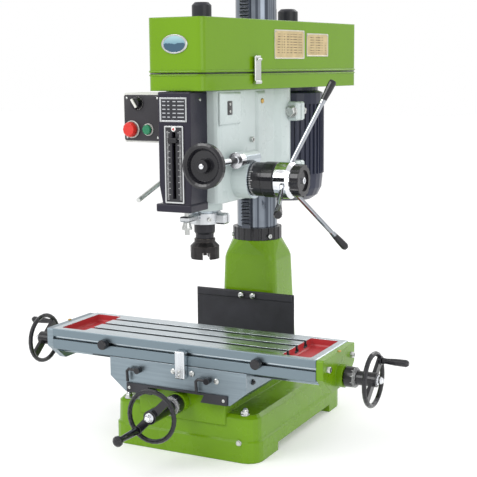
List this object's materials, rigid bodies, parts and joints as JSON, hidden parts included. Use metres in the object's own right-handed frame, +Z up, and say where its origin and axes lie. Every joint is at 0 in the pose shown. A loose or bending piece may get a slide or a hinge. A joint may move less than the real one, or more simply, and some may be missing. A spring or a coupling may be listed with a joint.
{
  "type": "benchtop milling machine",
  "caption": "Bench mill-drill: round column with a rack-raised head, spring-return quill, belt-driven spindle and a T-slot table on a cross slide with handwheels.",
  "frame": {"origin": "on the bench, under the middle of the whole machine's box, in the machine's own plane of symmetry", "axes": "+Z up, the operator stands at -Y, +X to the operator's right along the table's travel"},
  "size_m": [0.7372, 0.6706, 0.85],
  "materials": {
    "green_paint": "gloss enamel",
    "grey_paint": "satin enamel",
    "charcoal_paint": "satin enamel",
    "ground_steel": "ground",
    "chrome": "polished",
    "zinc": "zinc plated",
    "aluminium": "satin",
    "brass": "machined",
    "black_iron": "blackened",
    "black_plastic": "moulded",
    "black_rubber": "matt",
    "grey_plastic": "moulded",
    "red_plastic": "moulded",
    "green_plastic": "moulded"
  },
  "bodies": {
    "base": {"base_casting": "green_paint", "column_foot": "green_paint", "column_ring": "black_iron", "column_tube": "ground_steel", "chip_guard": "black_rubber"},
    "rack_swivel": {"column_rack": "ground_steel", "column_top_cap": "black_iron"},
    "head": {"head_casting": "grey_paint", "front_panel": "charcoal_paint", "depth_scale": "aluminium", "control_box": "grey_plastic", "motor": "charcoal_paint", "drive_belt": "black_rubber", "belt_guard_tray": "green_paint"},
    "guard_lid": {"belt_guard_lid": "green_paint"},
    "saddle_slide": {"saddle": "ground_steel", "saddle_wiper": "black_rubber", "cross_nut": "brass", "table_nut": "brass", "table_stop_block": "black_iron"},
    "lock_left": {"lock_lever_left": "black_iron"},
    "lock_right": {"lock_lever_right": "black_iron"},
    "cross_screw": {"cross_feed_screw": "ground_steel", "cross_dial": "black_iron", "cross_handwheel": "black_iron"},
    "cross_grip_turn": {"cross_grip": "black_plastic"},
    "table_slide": {"table": "ground_steel", "end_bracket_left": "green_paint", "end_bracket_right": "green_paint"},
    "stop_left": {"table_stop_left": "black_plastic"},
    "stop_right": {"table_stop_right": "black_plastic"},
    "table_screw": {"table_feed_screw": "ground_steel", "table_dial_left": "black_iron", "table_dial_right": "black_iron", "table_handwheel_left": "black_iron", "table_handwheel_right": "black_iron"},
    "table_grip_left_turn": {"table_grip_left": "black_plastic"},
    "table_grip_right_turn": {"table_grip_right": "black_plastic"},
    "quill_slide": {"quill": "ground_steel", "depth_stop_collar": "aluminium", "depth_rod": "zinc"},
    "spindle_turn": {"spindle": "ground_steel", "face_mill": "black_iron"},
    "feed_turn": {"pinion_shaft": "ground_steel", "feed_dial": "black_iron", "feed_hub": "chrome", "feed_lever_1": "chrome", "feed_lever_2": "chrome", "feed_lever_3": "chrome"},
    "feed_knob": {"feed_lock_knob": "black_plastic"},
    "fine_feed": {"fine_feed_wheel": "black_plastic"},
    "lift_lever_body": {"lift_lever": "zinc"},
    "lift_pinion_body": {"lift_pinion": "ground_steel"},
    "spindle_pulley_body": {"spindle_pulley": "aluminium"},
    "motor_pulley_body": {"motor_pulley": "aluminium"},
    "latch_left_body": {"latch_left": "zinc"},
    "latch_right_body": {"latch_right": "zinc"},
    "speed_switch_body": {"speed_switch": "black_plastic"},
    "stop_button_body": {"stop_button": "red_plastic"},
    "start_button_body": {"start_button": "green_plastic"}
  },
  "joints": [
    {"name": "head_swivel", "type": "hinge", "parent": "base", "child": "rack_swivel", "pos_m": [0, 0.1203, 0.3503], "axis": [0, 0, 1], "range_deg": [-90, 90]},
    {"name": "head_lift", "type": "slide", "parent": "rack_swivel", "child": "head", "axis": [0, 0, 1], "range_m": [-0.035, 0.12]},
    {"name": "lift_pinion_turn", "type": "hinge", "parent": "head", "child": "lift_pinion_body", "pos_m": [-0.02, 0.0585, 0.497], "axis": [1, 0, 0], "range_deg": [-574, 168]},
    {"name": "lift_lever_turn", "type": "hinge", "parent": "head", "child": "lift_lever_body", "pos_m": [-0.07, 0.0585, 0.497], "axis": [1, 0, 0], "range_deg": [-18, 25]},
    {"name": "feed_turn", "type": "hinge", "parent": "head", "child": "feed_turn", "pos_m": [0.1, -0.0547, 0.457], "axis": [1, 0, 0], "range_deg": [0, 381.9], "stiffness_Nm_per_rad": 0.03, "springref_deg": -1604.28},
    {"name": "quill_feed", "type": "slide", "parent": "head", "child": "quill_slide", "axis": [0, 0, -1], "range_m": [0, 0.08]},
    {"name": "motor_spin", "type": "hinge", "parent": "head", "child": "motor_pulley_body", "pos_m": [0, 0.2603, 0.65], "axis": [0, 0, 1], "continuous": true},
    {"name": "spindle_pulley_spin", "type": "hinge", "parent": "head", "child": "spindle_pulley_body", "pos_m": [0, -0.0847, 0.65], "axis": [0, 0, 1], "continuous": true},
    {"name": "spindle_spin", "type": "hinge", "parent": "quill_slide", "child": "spindle_turn", "pos_m": [0, -0.0847, 0.45], "axis": [0, 0, 1], "continuous": true},
    {"name": "feed_knob_turn", "type": "hinge", "parent": "feed_turn", "child": "feed_knob", "pos_m": [0.164, -0.0547, 0.457], "axis": [1, 0, 0], "continuous": true},
    {"name": "fine_feed_turn", "type": "hinge", "parent": "head", "child": "fine_feed", "pos_m": [0.07, -0.2097, 0.491], "axis": [0, 1, 0], "continuous": true},
    {"name": "guard_lid_lift", "type": "slide", "parent": "head", "child": "guard_lid", "axis": [0, 0, 1], "range_m": [0, 0.1]},
    {"name": "latch_left_turn", "type": "hinge", "parent": "head", "child": "latch_left_body", "pos_m": [-0.07595, -0.0297, 0.618], "axis": [-0.1454, 0.9894, 0], "range_deg": [-110, 0]},
    {"name": "latch_right_turn", "type": "hinge", "parent": "head", "child": "latch_right_body", "pos_m": [0.07595, -0.0297, 0.618], "axis": [0.1454, 0.9894, 0], "range_deg": [0, 110]},
    {"name": "speed_switch_turn", "type": "hinge", "parent": "head", "child": "speed_switch_body", "pos_m": [-0.101, -0.1347, 0.585], "axis": [0, 1, 0], "range_deg": [-120, 120]},
    {"name": "stop_button_press", "type": "slide", "parent": "head", "child": "stop_button_body", "axis": [0, 1, 0], "range_m": [0, 0.004], "stiffness_N_per_m": 600, "springref_m": -0.001},
    {"name": "start_button_press", "type": "slide", "parent": "head", "child": "start_button_body", "axis": [0, 1, 0], "range_m": [0, 0.004], "stiffness_N_per_m": 400, "springref_m": -0.001},
    {"name": "cross_wheel_turn", "type": "hinge", "parent": "base", "child": "cross_screw", "pos_m": [0, -0.2297, 0.092], "axis": [0, 1, 0], "range_deg": [-4055, 9005]},
    {"name": "saddle_travel", "type": "slide", "parent": "base", "child": "saddle_slide", "axis": [0, 1, 0], "range_m": [-0.0452, 0.1002]},
    {"name": "cross_grip_spin", "type": "hinge", "parent": "cross_screw", "child": "cross_grip_turn", "pos_m": [-0.02652, -0.2997, 0.06548], "axis": [0, 1, 0], "continuous": true},
    {"name": "table_wheel_turn", "type": "hinge", "parent": "table_slide", "child": "table_screw", "pos_m": [0, -0.1207, 0.154], "axis": [1, 0, 0], "range_deg": [-10350, 10350]},
    {"name": "table_travel", "type": "slide", "parent": "saddle_slide", "child": "table_slide", "axis": [1, 0, 0], "range_m": [-0.1152, 0.1152]},
    {"name": "table_grip_left_spin", "type": "hinge", "parent": "table_screw", "child": "table_grip_left_turn", "pos_m": [-0.34, -0.09197, 0.17811], "axis": [1, 0, 0], "continuous": true},
    {"name": "table_grip_right_spin", "type": "hinge", "parent": "table_screw", "child": "table_grip_right_turn", "pos_m": [0.34, -0.09197, 0.17811], "axis": [1, 0, 0], "continuous": true},
    {"name": "stop_left_slide", "type": "slide", "parent": "table_slide", "child": "stop_left", "axis": [1, 0, 0], "range_m": [-0.09, 0.012]},
    {"name": "stop_right_slide", "type": "slide", "parent": "table_slide", "child": "stop_right", "axis": [1, 0, 0], "range_m": [-0.002, 0.085]},
    {"name": "lock_left_turn", "type": "hinge", "parent": "saddle_slide", "child": "lock_left", "pos_m": [-0.071, -0.1947, 0.141], "axis": [0, 1, 0], "range_deg": [-25, 60]},
    {"name": "lock_right_turn", "type": "hinge", "parent": "saddle_slide", "child": "lock_right", "pos_m": [0.062, -0.1947, 0.139], "axis": [0, 1, 0], "range_deg": [-25, 60]}
  ],
  "couplings": [
    {"joint": "lift_pinion_turn", "follows": "head_lift", "rad_per_m": -83.333},
    {"joint": "quill_feed", "follows": "feed_turn", "m_per_rad": 0.012},
    {"joint": "spindle_spin", "follows": "motor_spin", "ratio": 1.2},
    {"joint": "spindle_pulley_spin", "follows": "motor_spin", "ratio": 1.2},
    {"joint": "saddle_travel", "follows": "cross_wheel_turn", "m_per_rad": 0.00063662},
    {"joint": "table_travel", "follows": "table_wheel_turn", "m_per_rad": 0.00063662}
  ]
}
